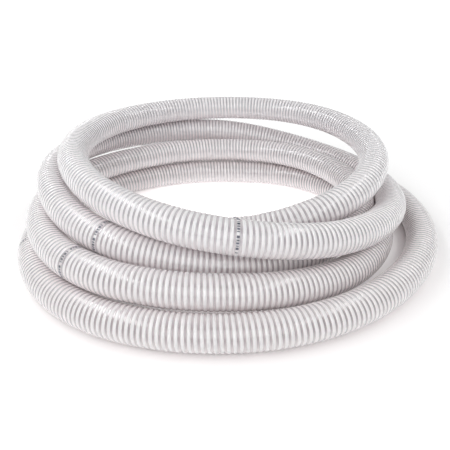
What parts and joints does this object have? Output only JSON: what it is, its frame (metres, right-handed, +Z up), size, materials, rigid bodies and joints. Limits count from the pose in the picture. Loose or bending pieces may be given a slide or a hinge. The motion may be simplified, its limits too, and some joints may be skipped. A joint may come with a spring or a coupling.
{
  "type": "vacuum hose",
  "caption": "Clear flexible pool vacuum hose with a white spiral in its wall, lying in a loose coil, with a swivel cuff and a plain cuff.",
  "frame": {"origin": "on the floor, under the middle of the whole coil with its cuffs", "axes": "+Z up from the floor the coil lies on; -X is the way both cuffs' mouths face; the camera of the picture looks along +Y"},
  "size_m": [0.6785, 0.6928, 0.1747],
  "materials": {
    "clear_wall": "glossy, clear",
    "white_helix": "glossy",
    "print_ink": "matte",
    "white_plastic": "satin",
    "soft_cuff": "satin",
    "black_rubber": "satin"
  },
  "bodies": {
    "coil": {"hose": "clear_wall", "swivel_collar": "white_plastic", "swivel_seal": "black_rubber", "swivel_retaining_ring": "white_plastic", "fixed_cuff": "soft_cuff"},
    "swivel_cuff": {"swivel_cuff": "soft_cuff"}
  },
  "joints": [
    {"name": "cuff_swivel", "type": "hinge", "parent": "coil", "child": "swivel_cuff", "pos_m": [-0.1825, -0.1507, 0.028], "axis": [-1, 0, 0], "continuous": true}
  ]
}
